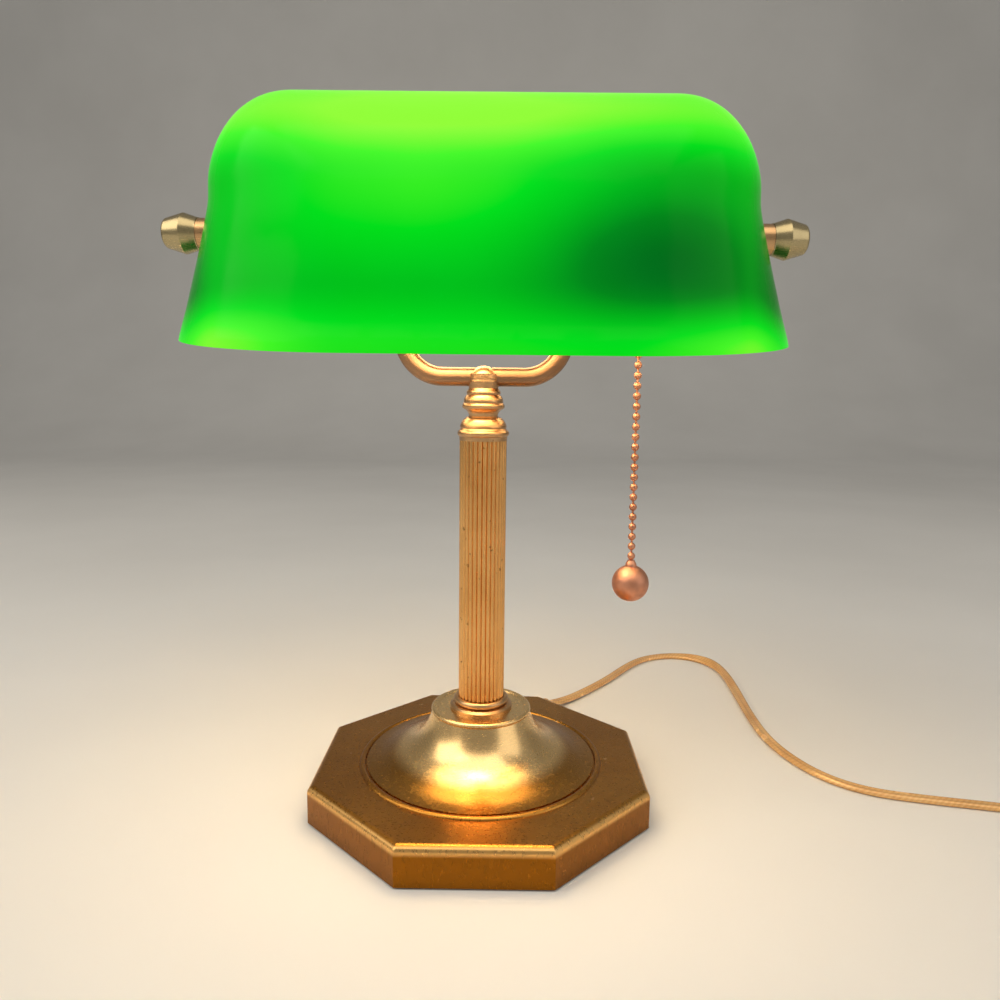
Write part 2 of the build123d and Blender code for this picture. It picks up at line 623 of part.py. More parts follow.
def flat_cord(points):
    """Flat twin cord along a route that lies on the ground, its wide side down."""
    path = smooth_path(points)
    start = path % 0
    side = Vector(0, 0, 1).cross(start)
    plane = Plane(origin=path @ 0, x_dir=side, z_dir=start)
    section = plane * RectangleRounded(CORD_WIDTH, CORD_T, CORD_T / 2 - 0.02)
    cord = sweep(section, path)
    expected = section.area * path.length
    print(f"cord piece: path {path.length:.1f}, volume {cord.volume:.1f}, section x length {expected:.1f}")
    return cord


def make_cord():
    direction = Vector(*CORD_ROUTE[0]) - CORD_EXIT
    collar = Plane(origin=CORD_EXIT + Vector(0, -2.4, 0), z_dir=(0, 1, 0))
    plug_in_wall = extrude(collar * Circle(4.1), 3.9)
    taper_start = Plane(origin=CORD_EXIT + Vector(0, 0.6, 0), z_dir=direction)
    taper_end = Plane(origin=Vector(*CORD_ROUTE[0]), z_dir=direction)
    taper = loft([taper_start * Circle(4.3), taper_end * Circle(3.4)])
    taper -= block((0, 0, 0), (60, CORD_EXIT.Y, 20))
    flange = extrude(Plane(origin=CORD_EXIT, z_dir=(0, 1, 0)) * Circle(5.8), 1.5)
    parts["cord_strain_relief"] = plug_in_wall + flange + taper

    parts["cord"] = flat_cord(CORD_ROUTE)

    outer_r = COIL_MEAN_R + COIL_RING_WIDTH / 2
    ring_section = RectangleRounded(COIL_RING_WIDTH, COIL_HEIGHT, 1.3)
    outline = Plane.XZ * Pos(COIL_MEAN_R, COIL_HEIGHT / 2) * ring_section
    parts["cord_coil"] = Pos(*COIL_CENTRE, 0) * revolve(outline, Axis.Z)

    tail_x = COIL_CENTRE[0] + outer_r - CORD_WIDTH / 2 - 0.4
    tail_y = COIL_CENTRE[1]
    tail = [
        (tail_x, tail_y - 2.0, 1.4), (tail_x + 0.3, tail_y - 9.0, 1.4), (tail_x + 1.4, tail_y - 19.0, 3.6),
        (tail_x + 1.6, tail_y - TAIL_LENGTH, PLUG_T / 2),
    ]
    parts["cord_tail"] = flat_cord(tail)

    plug_y = tail_y - TAIL_LENGTH
    plug_x = tail_x + 1.6
    half_width = PLUG_WIDTH / 2
    body = block((plug_x - half_width, plug_y - PLUG_LENGTH, 0), (plug_x + half_width, plug_y - 7, PLUG_T))
    body = fillet(body.edges().filter_by(Axis.Z).group_by(Axis.Y)[-1], 6.0)
    neck_far = Plane(origin=(plug_x, plug_y - 9, PLUG_T / 2), x_dir=(1, 0, 0), z_dir=(0, 1, 0))
    neck_near = Plane(origin=(plug_x, plug_y, PLUG_T / 2), x_dir=(1, 0, 0), z_dir=(0, 1, 0))
    neck = loft([neck_far * RectangleRounded(14.0, 10.5, 4.0), neck_near * RectangleRounded(8.0, 5.6, 2.6)])
    parts["plug_body"] = body + neck
    blades = []
    for side in (-1, 1):
        x = plug_x + side * BLADE_SPACING / 2
        y = plug_y - PLUG_LENGTH
        blade = block((x - BLADE_T / 2, y - BLADE_LENGTH, PLUG_T / 2 - BLADE_WIDTH / 2),
                      (x + BLADE_T / 2, y, PLUG_T / 2 + BLADE_WIDTH / 2))
        blades.append(fillet(blade.edges().filter_by(Axis.X).group_by(Axis.Y)[0], 1.8))
    parts["plug_blades"] = Compound([s for blade in blades for s in blade.solids()])

    tie_x = COIL_CENTRE[0] - COIL_MEAN_R
    tie_height = COIL_HEIGHT + 0.9
    tie_loop = RectangleRounded(COIL_RING_WIDTH + 2.0, tie_height, 2.2)
    tie_loop -= RectangleRounded(COIL_RING_WIDTH, tie_height - 2.0, 1.3)
    tie = extrude(Plane.XZ * Pos(tie_x, tie_height / 2) * tie_loop, 1.8, both=True)
    parts["coil_tie"] = Pos(0, COIL_CENTRE[1], 0) * tie
    print(f"coil: outer radius {outer_r:.1f}")


# ---------------------------------------------------------------- all parts

make_base()
make_bell()
make_column()
make_yoke()
make_strap()
make_socket_bracket()
make_socket()
make_bulb()
make_lead()
make_shade()
make_knobs()
make_chain()
make_cord()

os.makedirs("parts", exist_ok=True)
for name, solid in parts.items():
    export_step(solid, f"parts/{name}.step")
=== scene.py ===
"""Looks of the banker's desk lamp: brass, glowing cased glass, bead chain and flat twin cord.

Metres, in the same frame as the CAD model. +X is the pull-chain side and -Y the front.
"""
import bpy
import math
from mathutils import Matrix, Vector


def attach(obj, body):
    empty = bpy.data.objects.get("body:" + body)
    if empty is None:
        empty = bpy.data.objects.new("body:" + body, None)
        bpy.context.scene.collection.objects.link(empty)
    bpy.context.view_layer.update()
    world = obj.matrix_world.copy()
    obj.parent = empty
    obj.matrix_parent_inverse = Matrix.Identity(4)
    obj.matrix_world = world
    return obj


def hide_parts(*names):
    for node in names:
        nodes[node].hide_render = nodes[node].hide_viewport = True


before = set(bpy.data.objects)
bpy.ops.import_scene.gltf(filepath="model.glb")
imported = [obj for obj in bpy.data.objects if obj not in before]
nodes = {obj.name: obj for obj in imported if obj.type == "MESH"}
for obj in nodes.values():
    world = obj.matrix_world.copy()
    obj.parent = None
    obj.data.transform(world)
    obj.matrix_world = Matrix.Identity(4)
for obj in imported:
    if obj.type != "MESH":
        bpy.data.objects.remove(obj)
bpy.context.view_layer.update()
MM = 0.001

# ---------------------------------------------------------------- camera

CAMERA_PLACE = Vector((0.0092, -0.330, 0.1815))
CAMERA_PITCH = math.radians(8.30)      # looking down
CAMERA_YAW = math.radians(-0.31)       # turned to the left
CAMERA_ROLL = math.radians(0.66)
CAMERA_LENS = 28.0
CAMERA_SENSOR = 36.0


def make_camera():
    forward = Vector((math.sin(CAMERA_YAW) * math.cos(CAMERA_PITCH),
                      math.cos(CAMERA_YAW) * math.cos(CAMERA_PITCH),
                      -math.sin(CAMERA_PITCH)))
    level_right = forward.cross(Vector((0, 0, 1))).normalized()
    level_up = level_right.cross(forward)
    right = math.cos(CAMERA_ROLL) * level_right + math.sin(CAMERA_ROLL) * level_up
    up = math.cos(CAMERA_ROLL) * level_up - math.sin(CAMERA_ROLL) * level_right
    data = bpy.data.cameras.new("camera")
    data.lens = CAMERA_LENS
    data.sensor_width = CAMERA_SENSOR
    data.clip_start = 0.01
    camera = bpy.data.objects.new("camera", data)
    turn = Matrix((right, up, -forward)).transposed()
    camera.matrix_world = Matrix.Translation(CAMERA_PLACE) @ turn.to_4x4()
    bpy.context.scene.collection.objects.link(camera)
    bpy.context.scene.camera = camera


make_camera()

# ---------------------------------------------------------------- cord

CORD_WIDTH = 5.3
CORD_T = 2.7
# part.py's route, 0.1 to 1.5 mm higher where the flat cord turns on its edge
CORD_ROUTE = [
    (34.2, 87.3, 4.6),
    (43.5, 96.6, 2.6),
    (54.5, 109.0, 1.6),
    (74.0, 132.5, 1.5),
    (90.0, 157.0, 1.4),
    (102.0, 171.0, 1.4),
    (114.7, 177.9, 1.4),
    (127.8, 179.0, 1.6),
    (139.5, 173.6, 2.2),
    (147.3, 162.3, 2.9),
    (150.5, 144.5, 2.9),
    (149.5, 115.0, 2.2),
    (147.6, 84.0, 1.6),
    (147.2, 57.0, 1.4),
    (151.3, 34.5, 1.4),
    (160.5, 14.5, 1.4),
    (175.5, 1.5, 1.4),
    (198.0, -4.5, 1.4),
    (224.0, -9.5, 1.4),
    (247.0, -14.5, 1.4),
    (262.0, -16.4, 1.4),
]
COIL_CENTRE = (268.0, -54.0)
COIL_POINTS = 16                       # points in each turn
COIL_START = math.radians(85.0)        # seen from the coil's centre, clockwise from here
COIL_TURNS = 7.236
# (turns so far, radius, height): the cord winds in three lanes and three layers
COIL_LANES = [
    (0.0, 37.9, 1.4), (0.22, 30.4, 1.4), (1.0, 30.3, 1.4), (1.2, 24.8, 1.4), (2.0, 24.8, 1.4),
    (2.2, 24.8, 4.2), (3.0, 24.8, 4.2), (3.2, 30.3, 4.2), (4.0, 30.3, 4.2), (4.2, 25.4, 7.0),
    (5.0, 25.4, 7.0), (5.2, 35.9, 4.2), (6.08, 35.9, 4.2), (6.25, 36.0, 1.5), (6.85, 36.0, 1.5),
    (6.98, 36.6, 4.3), (7.08, 37.0, 4.3), (7.236, 37.5, 1.5),
]
TAIL = [(305.7, -60.0, 1.4), (306.1, -67.0, 1.6), (307.0, -75.0, 3.8), (307.25, -82.0, 5.6),
        (307.25, -87.0, 6.5)]
TWIST_CENTRE = 0.175                   # metres along the cord, where it stands on its edge
TWIST_SPAN = 0.055
TWIST_TURN = math.radians(68)
SAME_POINT = 1e-5                      # metres
UV_PER_METRE = 100


def lane(turns):
    """Radius and height of the coil after that many turns."""
    for (t0, r0, z0), (t1, r1, z1) in zip(COIL_LANES, COIL_LANES[1:]):
        if turns <= t1 + 1e-9:
            share = (turns - t0) / (t1 - t0)
            ease = share * share * (3 - 2 * share)
            return r0 + (r1 - r0) * ease, z0 + (z1 - z0) * ease
    return COIL_LANES[-1][1:]


def cord_points():
    """The whole cord's control points: the route, the coil's turns and the tail to the plug."""
    points = list(CORD_ROUTE)
    steps = round(COIL_TURNS * COIL_POINTS)
    for step in range(steps + 1):
        turns = COIL_TURNS * step / steps
        radius, height = lane(turns)
        angle = COIL_START - 2 * math.pi * turns
        points.append((COIL_CENTRE[0] + radius * math.cos(angle),
                       COIL_CENTRE[1] + radius * math.sin(angle), height))
    return [Vector(p) * MM for p in points + TAIL]


def spline_line(points):
    """Points along the smooth NURBS line that those control points give."""
    curve = bpy.data.curves.new("cord_line", "CURVE")
    curve.dimensions = "3D"
    curve.resolution_u = 6
    spline = curve.splines.new("NURBS")
    spline.points.add(len(points) - 1)
    for point, place in zip(spline.points, points):
        point.co = (*place, 1.0)
    spline.order_u = 3
    spline.use_endpoint_u = True
    line_object = bpy.data.objects.new("cord_line", curve)
    mesh = bpy.data.meshes.new_from_object(line_object)
    line = [v.co.copy() for v in mesh.vertices]
    bpy.data.objects.remove(line_object)
    bpy.data.curves.remove(curve)
    bpy.data.meshes.remove(mesh)
    return [line[0]] + [b for a, b in zip(line, line[1:]) if (b - a).length > SAME_POINT]


def twin_outline():
    """Section of flat twin cord: two round conductors side by side with a groove between them."""
    radius = CORD_T / 2
    offset = CORD_WIDTH / 2 - radius
    half = [(offset + radius * math.cos(math.radians(a)), radius * math.sin(math.radians(a)))
            for a in range(-115, 116, 23)]
    groove = 0.62 * radius
    other = [(-x, -y) for x, y in half]
    return [(x * MM, y * MM) for x, y in half + [(0, groove)] + other + [(0, -groove)]]


def make_cord():
    line = spline_line(cord_points())
    outline = twin_outline()
    verts, faces, lengths = [], [], [0.0]
    for a, b in zip(line, line[1:]):
        lengths.append(lengths[-1] + (b - a).length)
    for i, place in enumerate(line):
        ahead = (line[min(i + 1, len(line) - 1)] - line[max(i - 1, 0)]).normalized()
        side = Vector((0, 0, 1)).cross(ahead).normalized()
        up = ahead.cross(side)
        reach = min(1.0, abs(lengths[i] - TWIST_CENTRE) / TWIST_SPAN)
        roll = TWIST_TURN * (1 - reach * reach * (3 - 2 * reach))
        across = math.cos(roll) * side + math.sin(roll) * up
        upward = math.cos(roll) * up - math.sin(roll) * side
        verts += [place + across * x + upward * y for x, y in outline]
    count = len(outline)
    for ring in range(len(line) - 1):
        start = ring * count
        for k in range(count):
            n = (k + 1) % count
            faces.append((start + k, start + n, start + count + n, start + count + k))
    faces.append(tuple(reversed(range(count))))
    faces.append(tuple(range((len(line) - 1) * count, len(line) * count)))
    mesh = bpy.data.meshes.new("twin_flex")
    mesh.from_pydata(verts, [], faces)
    layer = mesh.uv_layers.new(name="along")
    for polygon in mesh.polygons[:-2]:
        ring, k = divmod(polygon.index, count)
        corners = ((ring, k), (ring, k + 1), (ring + 1, k + 1), (ring + 1, k))
        for loop, (r, c) in zip(polygon.loop_indices, corners):
            layer.data[loop].uv = (c / count, lengths[r] * UV_PER_METRE)
        polygon.use_smooth = True
    flex = bpy.data.objects.new("twin_flex", mesh)
    bpy.context.scene.collection.objects.link(flex)
    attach(flex, "frame")
    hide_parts("cord", "cord_coil", "cord_tail")
    return flex


flex = make_cord()

# ---------------------------------------------------------------- material tools


def new_material(name):
    """An empty procedural material, its node tree and its Principled shader."""
    material = bpy.data.materials.new(name + "_look")
    material.use_nodes = True
    return material, material.node_tree, material.node_tree.nodes["Principled BSDF"]


def add(tree, kind, settings=None, inputs=None):
    """A shader node with its settings and its inputs, which are values or other nodes' sockets."""
    node = tree.nodes.new("ShaderNode" + kind)
    for name, value in (settings or {}).items():
        setattr(node, name, value)
    for name, value in (inputs or {}).items():
        if isinstance(value, bpy.types.NodeSocket):
            tree.links.new(value, node.inputs[name])
        else:
            node.inputs[name].default_value = value
    return node


def place(tree, stretch=(1, 1, 1)):
    """Position on the object, stretched."""
    coordinates = add(tree, "TexCoord")
    mapping = add(tree, "Mapping", inputs={"Vector": coordinates.outputs["Object"], "Scale": stretch})
    return mapping.outputs["Vector"]


def noise(tree, scale, detail=3.0, stretch=(1, 1, 1), rough=0.55):
    node = add(tree, "TexNoise", inputs={
        "Vector": place(tree, stretch), "Scale": scale, "Detail": detail, "Roughness": rough})
    return node.outputs["Fac"]


def ramp(tree, value, stops):
    """Colours along a value from 0 to 1."""
    node = add(tree, "ValToRGB", inputs={"Fac": value})
    elements = node.color_ramp.elements
    while len(elements) < len(stops):
        elements.new(0.5)
    for element, (position, colour) in zip(elements, stops):
        element.position = position
        element.color = (*colour, 1.0)
    return node.outputs["Color"]


def span(tree, value, low, high, to_low=0.0, to_high=1.0, smooth=False):
    """Value from low..high carried to to_low..to_high."""
    node = add(tree, "MapRange", {"interpolation_type": "SMOOTHSTEP" if smooth else "LINEAR"}, {
        "Value": value, "From Min": low, "From Max": high, "To Min": to_low, "To Max": to_high})
    return node.outputs["Result"]


def maths(tree, operation, a, b=0.0):
    node = add(tree, "Math", {"operation": operation})
    for socket, value in zip(node.inputs, (a, b)):
        if isinstance(value, bpy.types.NodeSocket):
            tree.links.new(value, socket)
        else:
            socket.default_value = value
    return node.outputs["Value"]


def mix(tree, share, a, b):
    """Colour a turning into colour b."""
    node = add(tree, "Mix", {"data_type": "RGBA"})
    for socket, value in ((node.inputs[0], share), (node.inputs[6], a), (node.inputs[7], b)):
        if isinstance(value, bpy.types.NodeSocket):
            tree.links.new(value, socket)
        else:
            socket.default_value = value if isinstance(value, float) else (*value, 1.0)
    return node.outputs[2]


def bump(tree, shader, height, strength, distance=0.0004):
    node = add(tree, "Bump", inputs={"Height": height, "Strength": strength, "Distance": distance})
    tree.links.new(node.outputs["Normal"], shader.inputs["Normal"])


def metal(name, dark, light, rough, grain=400.0, stretch=(1, 1, 1), relief=0.08, patches=30.0, specks=None):
    """Metal whose colour drifts in soft patches, with fine grain in its roughness and relief.

    specks is (colour, how common from 0 to 1, scale) for small stains.
    """
    material, tree, shader = new_material(name)
    shader.inputs["Metallic"].default_value = 1.0
    drift = noise(tree, patches, 4.0)
    colour = ramp(tree, drift, [(0.32, dark), (0.66, light)])
    fine = noise(tree, grain, 3.0, stretch)
    if specks:
        stain, share, scale = specks
        spots = span(tree, noise(tree, scale, 2.0), 0.70 - 0.2 * share, 0.76 - 0.2 * share, smooth=True)
        colour = mix(tree, spots, colour, stain)
    tree.links.new(colour, shader.inputs["Base Color"])
    tree.links.new(span(tree, fine, 0.3, 0.7, *rough), shader.inputs["Roughness"])
    bump(tree, shader, fine, relief)
    return material


def plain_stuff(name, dark, light, rough, grain=300.0, relief=0.1, patches=40.0, **sockets):
    """Plastic, rubber, felt or fibre: colour drift, grain in the roughness and a little relief."""
    material, tree, shader = new_material(name)
    colour = ramp(tree, noise(tree, patches, 4.0), [(0.3, dark), (0.7, light)])
    fine = noise(tree, grain, 4.0)
    tree.links.new(colour, shader.inputs["Base Color"])
    tree.links.new(span(tree, fine, 0.3, 0.7, *rough), shader.inputs["Roughness"])
    bump(tree, shader, fine, relief)
    for socket, value in sockets.items():
        shader.inputs[socket.replace("_", " ")].default_value = value
    return material


# ---------------------------------------------------------------- metals


BASE_FLANK_Z = (0.0150, 0.0125)        # the bevel ends and the upright side, which gets a painted dark reflection, begins
BASE_BEVEL_Z = (0.0167, 0.0158)        # the flat top ends and the bevel, painted bright as wear and as a painted highlight, begins
BELL_FLANGE_Z = (0.0235, 0.0205)       # the bell's curve runs out into its flange, which gets a painted dark reflection


def aged_brass():
    """Base: dark satin brass with sparse pits and tan spots, a bevel painted bright as wear and as a painted
    highlight, and upright sides painted darker as a painted dark reflection.
    """
    material, tree, shader = new_material("brass_aged")
    shader.inputs["Metallic"].default_value = 1.0
    drift = noise(tree, 16.0, 5.0)
    colour = ramp(tree, drift, [(0.30, (0.36, 0.150, 0.022)), (0.55, (0.46, 0.205, 0.036)),
                                (0.78, (0.56, 0.28, 0.06))])
    spots = span(tree, noise(tree, 210.0, 1.0), 0.76, 0.80, 0.0, 0.7, smooth=True)
    colour = mix(tree, spots, colour, (0.74, 0.45, 0.19))
    pits = span(tree, noise(tree, 330.0, 1.0), 0.15, 0.20, 0.7, 0.0, smooth=True)
    colour = mix(tree, pits, colour, (0.12, 0.055, 0.015))
    height = add(tree, "SeparateXYZ", inputs={"Vector": place(tree)}).outputs["Z"]
    # mask of the upright sides, which get a painted dark reflection
    painted_dark_sides = span(tree, height, *BASE_FLANK_Z, 0.0, 1.0, smooth=True)
    # mask of the bevel, brightened as wear and as a painted highlight
    wear_and_highlight = span(tree, height, *BASE_BEVEL_Z, 0.0, 0.85, smooth=True)
    colour = mix(tree, wear_and_highlight, colour, (0.86, 0.50, 0.17))
    colour = mix(tree, painted_dark_sides, colour, (0.25, 0.092, 0.008))
    tree.links.new(colour, shader.inputs["Base Color"])
    fine = noise(tree, 900.0, 3.0, (1, 1, 0.25))
    tree.links.new(span(tree, fine, 0.3, 0.7, 0.24, 0.36), shader.inputs["Roughness"])
    bump(tree, shader, fine, 0.03)
    return material


def bell_brass():
    """Bell: bright above, with a painted dark reflection on the wide flange that meets the base."""
    material, tree, shader = new_material("brass_bell")
    shader.inputs["Metallic"].default_value = 1.0
    drift = noise(tree, 20.0, 4.0)
    bright = ramp(tree, drift, [(0.3, (0.86, 0.56, 0.24)), (0.7, (0.94, 0.66, 0.31))])
    amber = ramp(tree, drift, [(0.3, (0.36, 0.165, 0.030)), (0.7, (0.48, 0.235, 0.050))])
    height = add(tree, "SeparateXYZ", inputs={"Vector": place(tree)}).outputs["Z"]
    # painted dark reflection on the flange
    flange = span(tree, height, *BELL_FLANGE_Z, 0.0, 1.0, smooth=True)
    tree.links.new(mix(tree, flange, bright, amber), shader.inputs["Base Color"])
    fine = noise(tree, 500.0, 3.0, (1, 1, 4))
    tree.links.new(span(tree, fine, 0.3, 0.7, 0.22, 0.30), shader.inputs["Roughness"])
    bump(tree, shader, fine, 0.01)
    return material


LATHE = (1, 1, 40)                     # rings left by turning
DRAWN = (1, 1, 0.03)                   # streaks along an upright tube
SHEET = (0.05, 1, 1)                   # rolling marks along a strip

metals = {
    "brass_aged": aged_brass(),
    "brass_turned": metal("brass_turned", (0.54, 0.31, 0.14), (0.68, 0.42, 0.21), (0.25, 0.34), 300.0, LATHE,
                          0.05, 40.0, ((0.34, 0.16, 0.05), 0.1, 500.0)),
    "brass_satin": metal("brass_satin", (0.72, 0.35, 0.10), (0.90, 0.50, 0.18), (0.20, 0.36), 700.0, DRAWN,
                         0.10, 30.0, ((0.30, 0.14, 0.04), 0.12, 420.0)),
    "brass_arm": metal("brass_arm", (0.28, 0.155, 0.080), (0.36, 0.205, 0.110), (0.30, 0.36), 300.0,
                       relief=0.01, patches=40.0),
    "brass_knob": metal("brass_knob", (0.42, 0.33, 0.17), (0.54, 0.44, 0.24), (0.22, 0.32), 300.0, LATHE,
                        0.03, 40.0),
    "brass_bell": bell_brass(),
    "brass_sheet": metal("brass_sheet", (0.62, 0.36, 0.12), (0.80, 0.52, 0.22), (0.18, 0.34), 400.0, SHEET,
                         0.06),
    "brass_chain": metal("brass_chain", (0.54, 0.24, 0.145), (0.68, 0.33, 0.21), (0.40, 0.52), 900.0, (1, 1, 1),
                         0.03, 120.0),
    "zinc_steel": metal("zinc_steel", (0.50, 0.51, 0.50), (0.70, 0.70, 0.66), (0.25, 0.42), 600.0),
    "iron": metal("iron", (0.07, 0.065, 0.06), (0.16, 0.14, 0.12), (0.55, 0.8), 260.0, (1, 1, 1), 0.5, 60.0,
                  ((0.20, 0.09, 0.04), 0.3, 150.0)),
    "aluminium": metal("aluminium", (0.62, 0.62, 0.62), (0.80, 0.80, 0.79), (0.22, 0.36), 700.0),
    "tungsten": metal("tungsten", (0.45, 0.42, 0.38), (0.60, 0.55, 0.48), (0.3, 0.45), 1500.0),
    "tie_wire": plain_stuff("tie_wire", (0.018, 0.018, 0.020), (0.035, 0.035, 0.037), (0.4, 0.6), 900.0),
}

# ---------------------------------------------------------------- glass

BULB_X = -0.019
# where the painted glow and the painted shadow on the green glass fall
CROWN_Z = (0.252, 0.281)               # the bright top begins and is full
RIM_GLOW_Z = (0.218, 0.194)            # the brighter band above the rim begins and is full
CORNER_X = (0.045, 0.118)              # the rim brightens towards its ends
SOCKET_SHADE = (0.060, 0.226)          # dim patch in front of the socket
DUSK_X = (0.095, 0.117)                # the ends darken
DUSK_Z = (0.282, 0.262)


def blob(tree, x, z, x0, z0, width, height):
    """Soft round patch, 1 at (x0, z0)."""
    dx = maths(tree, "DIVIDE", maths(tree, "SUBTRACT", x, x0), width)
    dz = maths(tree, "DIVIDE", maths(tree, "SUBTRACT", z, z0), height)
    square = maths(tree, "ADD", maths(tree, "MULTIPLY", dx, dx), maths(tree, "MULTIPLY", dz, dz))
    return maths(tree, "EXPONENT", maths(tree, "MULTIPLY", square, -1.0))


def green_glass():
    """Green glass lit from inside: brightest along the top and above the bulb, dim before the socket.

    The glow is painted in the shade's own coordinates, so it tilts with the shade.
    """
    material, tree, shader = new_material("glass_green")
    xyz = add(tree, "SeparateXYZ", inputs={"Vector": place(tree)})
    x, z = xyz.outputs["X"], xyz.outputs["Z"]
    sides = maths(tree, "ABSOLUTE", x)
    wobble = span(tree, noise(tree, 9.0, 2.0), 0.3, 0.7, -0.05, 0.05)
    crown = span(tree, z, *CROWN_Z, 0.0, 0.47, smooth=True)
    above_bulb = maths(tree, "MULTIPLY", blob(tree, x, z, BULB_X, 0.256, 0.074, 0.034), 0.38)
    rim = span(tree, z, *RIM_GLOW_Z, 0.0, 0.28, smooth=True)
    corners = maths(tree, "MULTIPLY", rim, span(tree, sides, *CORNER_X, 0.0, 1.3, smooth=True))
    shadow = maths(tree, "MULTIPLY", blob(tree, x, z, *SOCKET_SHADE, 0.036, 0.022), 0.36)
    dusk = maths(tree, "MULTIPLY", span(tree, sides, *DUSK_X, 0.0, 0.30, smooth=True),
                 span(tree, z, *DUSK_Z, 0.0, 1.0, smooth=True))
    glow = maths(tree, "ADD", 0.36, crown)
    for term in (above_bulb, rim, corners, wobble):
        glow = maths(tree, "ADD", glow, term)
    for term in (shadow, dusk):
        glow = maths(tree, "SUBTRACT", glow, term)
    colour = ramp(tree, glow, [
        (0.00, (0.000, 0.060, 0.000)), (0.22, (0.000, 0.200, 0.001)), (0.42, (0.000, 0.46, 0.001)),
        (0.62, (0.000, 0.74, 0.002)), (0.80, (0.060, 0.95, 0.010)), (1.00, (0.310, 1.00, 0.030))])
    tree.links.new(colour, shader.inputs["Emission Color"])
    shader.inputs["Emission Strength"].default_value = 0.92
    base = ramp(tree, noise(tree, 14.0, 3.0), [(0.3, (0.0, 0.055, 0.010)), (0.7, (0.0, 0.085, 0.016))])
    tree.links.new(base, shader.inputs["Base Color"])
    fine = noise(tree, 60.0, 2.0)
    tree.links.new(span(tree, fine, 0.3, 0.7, 0.14, 0.22), shader.inputs["Roughness"])
    shader.inputs["Specular IOR Level"].default_value = 0.04
    bump(tree, shader, fine, 0.02, 0.001)
    return material


def opal_glass():
    """Milk-white inner layer with a painted warm glow, strongest close to the bulb."""
    material, tree, shader = new_material("glass_opal")
    xyz = add(tree, "SeparateXYZ", inputs={"Vector": place(tree)})
    # painted glow: the opal layer is no lamp, its emission stands in for the bulb's light
    painted_bulb_glow = blob(tree, xyz.outputs["X"], xyz.outputs["Z"], BULB_X, 0.262, 0.10, 0.06)
    wisps = noise(tree, 26.0, 5.0)
    colour = ramp(tree, wisps, [(0.3, (0.82, 0.79, 0.70)), (0.7, (0.90, 0.88, 0.81))])
    tree.links.new(colour, shader.inputs["Base Color"])
    warm = ramp(tree, painted_bulb_glow, [(0.0, (0.42, 0.36, 0.22)), (1.0, (1.0, 0.84, 0.56))])
    tree.links.new(warm, shader.inputs["Emission Color"])
    shader.inputs["Emission Strength"].default_value = 1.35
    tree.links.new(span(tree, wisps, 0.3, 0.7, 0.18, 0.30), shader.inputs["Roughness"])
    return material


def frosted_bulb():
    """Lit bulb: a warm white frosted envelope, brightest round its middle."""
    material, tree, shader = new_material("bulb_frosted")
    xyz = add(tree, "SeparateXYZ", inputs={"Vector": place(tree)})
    middle = blob(tree, xyz.outputs["X"], xyz.outputs["Z"], BULB_X, 0.242, 0.045, 0.045)
    warm = ramp(tree, middle, [(0.0, (1.0, 0.62, 0.30)), (1.0, (1.0, 0.80, 0.55))])
    tree.links.new(warm, shader.inputs["Emission Color"])
    shader.inputs["Emission Strength"].default_value = 13.0
    grain = noise(tree, 500.0, 3.0)
    tree.links.new(span(tree, grain, 0.3, 0.7, 0.4, 0.55), shader.inputs["Roughness"])
    tree.links.new(ramp(tree, grain, [(0.3, (0.88, 0.86, 0.82)), (0.7, (0.95, 0.94, 0.91))]),
                   shader.inputs["Base Color"])
    return material


def clear_glass():
    material, tree, shader = new_material("clear_glass")
    seed = noise(tree, 120.0, 2.0)
    tree.links.new(ramp(tree, seed, [(0.3, (0.93, 0.95, 0.94)), (0.7, (0.98, 0.99, 0.98))]),
                   shader.inputs["Base Color"])
    tree.links.new(span(tree, seed, 0.3, 0.7, 0.02, 0.06), shader.inputs["Roughness"])
    shader.inputs["Transmission Weight"].default_value = 0.9
    return material


# ---------------------------------------------------------------- cord, rubber and the rest


def cord_pvc():
    """Amber see-through insulation over twisted copper strands."""
    material, tree, shader = new_material("cord_pvc")
    along = add(tree, "UVMap", {"uv_map": "along"}).outputs["UV"]
    strands = add(tree, "TexWave", {"wave_type": "BANDS", "bands_direction": "DIAGONAL"}, {
        "Vector": along, "Scale": 2.6, "Distortion": 0.6, "Detail": 1.0})
    drift = noise(tree, 45.0, 3.0)
    amber = ramp(tree, drift, [(0.3, (0.66, 0.34, 0.10)), (0.7, (0.82, 0.50, 0.19))])
    copper = ramp(tree, strands.outputs["Fac"], [(0.25, (0.52, 0.22, 0.07)), (0.75, (0.95, 0.62, 0.30))])
    tree.links.new(mix(tree, 0.16, amber, copper), shader.inputs["Base Color"])
    tree.links.new(span(tree, drift, 0.3, 0.7, 0.16, 0.30), shader.inputs["Roughness"])
    shader.inputs["Coat Weight"].default_value = 0.6
    shader.inputs["Coat Roughness"].default_value = 0.12
    shader.inputs["Subsurface Weight"].default_value = 0.15
    shader.inputs["Subsurface Radius"].default_value = (0.003, 0.0018, 0.0008)
    shader.inputs["Metallic"].default_value = 0.25
    bump(tree, shader, strands.outputs["Fac"], 0.015, 0.0002)
    return material


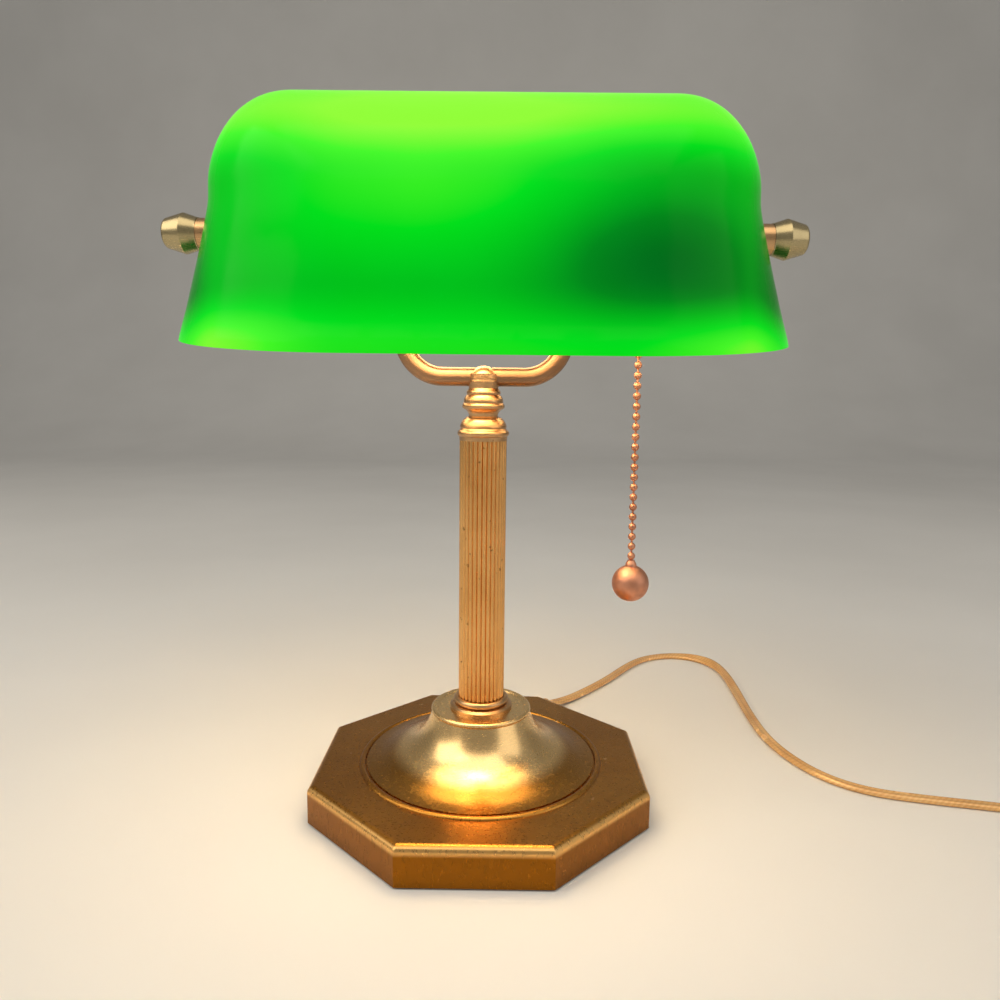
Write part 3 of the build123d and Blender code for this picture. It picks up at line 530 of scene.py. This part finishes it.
finishes = {
    **metals,
    "glass_green": green_glass(),
    "glass_opal": opal_glass(),
    "bulb_frosted": frosted_bulb(),
    "clear_glass": clear_glass(),
    "cord_pvc": cord_pvc(),
    "cord_moulding": plain_stuff("cord_moulding", (0.50, 0.26, 0.08), (0.62, 0.34, 0.12), (0.28, 0.42),
                                 500.0, 0.06, Coat_Weight=0.3, Subsurface_Weight=0.1),
    "felt": plain_stuff("felt", (0.010, 0.045, 0.020), (0.020, 0.075, 0.036), (0.85, 1.0), 1600.0, 0.6,
                        90.0, Sheen_Weight=0.6),
    "fibre": plain_stuff("fibre", (0.05, 0.045, 0.04), (0.10, 0.09, 0.08), (0.7, 0.9), 700.0, 0.3),
    "phenolic": plain_stuff("phenolic", (0.012, 0.009, 0.008), (0.030, 0.022, 0.018), (0.25, 0.4), 400.0,
                            0.05),
    "lead_sleeve": plain_stuff("lead_sleeve", (0.50, 0.36, 0.18), (0.66, 0.50, 0.28), (0.6, 0.8), 1200.0, 0.4),
    "rubber": plain_stuff("rubber", (0.016, 0.016, 0.016), (0.034, 0.034, 0.034), (0.55, 0.75), 900.0, 0.15),
}
# nodes whose look differs from their slot in the record
OWN_FINISH = {"socket_lead": "lead_sleeve", "yoke_arm_left": "brass_arm", "yoke_arm_right": "brass_arm",
              "knob_left": "brass_knob", "knob_right": "brass_knob", "base_bell": "brass_bell"}


def dress():
    """Every CAD node gets its own finish or that of its slot in the record, and the cord gets its finish."""
    for name, node in nodes.items():
        entry = node.material_slots[0]
        entry.material = finishes[OWN_FINISH.get(name, entry.material.name)]
    flex.data.materials.append(finishes["cord_pvc"])


dress()

# ---------------------------------------------------------------- floor and light


FLOOR_FRONT_Y = -3.0
FLOOR_BACK_Y = 1.6                     # the backdrop begins to rise
FLOOR_HALF_WIDTH = 8.0
BACKDROP_BEND = 0.9
BACKDROP_STEPS = 12
BACKDROP_TOP_Z = 3.5
LIGHT_TARGET = (0.0, 0.0, 0.14)


def make_stage():
    """Pale floor that curves up into a backdrop."""
    material, tree, shader = new_material("studio_floor")
    tone = ramp(tree, noise(tree, 3.0, 3.0), [(0.3, (0.70, 0.69, 0.67)), (0.7, (0.76, 0.75, 0.73))])
    tree.links.new(tone, shader.inputs["Base Color"])
    shader.inputs["Roughness"].default_value = 0.65
    profile = [(FLOOR_FRONT_Y, 0.0), (FLOOR_BACK_Y, 0.0)]
    for step in range(1, BACKDROP_STEPS + 1):
        angle = math.pi / 2 * step / BACKDROP_STEPS
        profile.append((FLOOR_BACK_Y + BACKDROP_BEND * math.sin(angle),
                        BACKDROP_BEND * (1 - math.cos(angle))))
    profile.append((FLOOR_BACK_Y + BACKDROP_BEND, BACKDROP_TOP_Z))
    verts = [(x, y, z) for y, z in profile for x in (-FLOOR_HALF_WIDTH, FLOOR_HALF_WIDTH)]
    faces = [(2 * i, 2 * i + 1, 2 * i + 3, 2 * i + 2) for i in range(len(profile) - 1)]
    mesh = bpy.data.meshes.new("floor")
    mesh.from_pydata(verts, [], faces)
    for polygon in mesh.polygons:
        polygon.use_smooth = True
    mesh.materials.append(material)
    floor = bpy.data.objects.new("floor", mesh)
    bpy.context.scene.collection.objects.link(floor)


def area_light(name, place_at, target, size, power, colour):
    data = bpy.data.lights.new(name, "AREA")
    data.shape = "RECTANGLE"
    data.size, data.size_y = size
    data.energy = power
    data.color = colour
    light = bpy.data.objects.new(name, data)
    light.location = place_at
    light.rotation_mode = "QUATERNION"
    light.rotation_quaternion = (Vector(target) - Vector(place_at)).to_track_quat("-Z", "Y")
    bpy.context.scene.collection.objects.link(light)


def make_lights():
    area_light("key", (-1.1, -0.5, 1.0), LIGHT_TARGET, (1.3, 1.0), 9.0, (1.0, 0.93, 0.82))
    area_light("overhead", (0.0, -0.55, 1.25), LIGHT_TARGET, (1.5, 1.0), 7.5, (1.0, 0.92, 0.80))
    area_light("fill", (1.3, -0.7, 0.7), LIGHT_TARGET, (1.2, 1.2), 4.0, (1.0, 0.95, 0.88))
    world = bpy.data.worlds.new("studio")
    world.use_nodes = True
    background = world.node_tree.nodes["Background"]
    background.inputs["Color"].default_value = (0.80, 0.78, 0.74, 1.0)
    background.inputs["Strength"].default_value = 0.35
    bpy.context.scene.world = world


make_stage()
make_lights()
bpy.context.scene.view_settings.view_transform = "Standard"
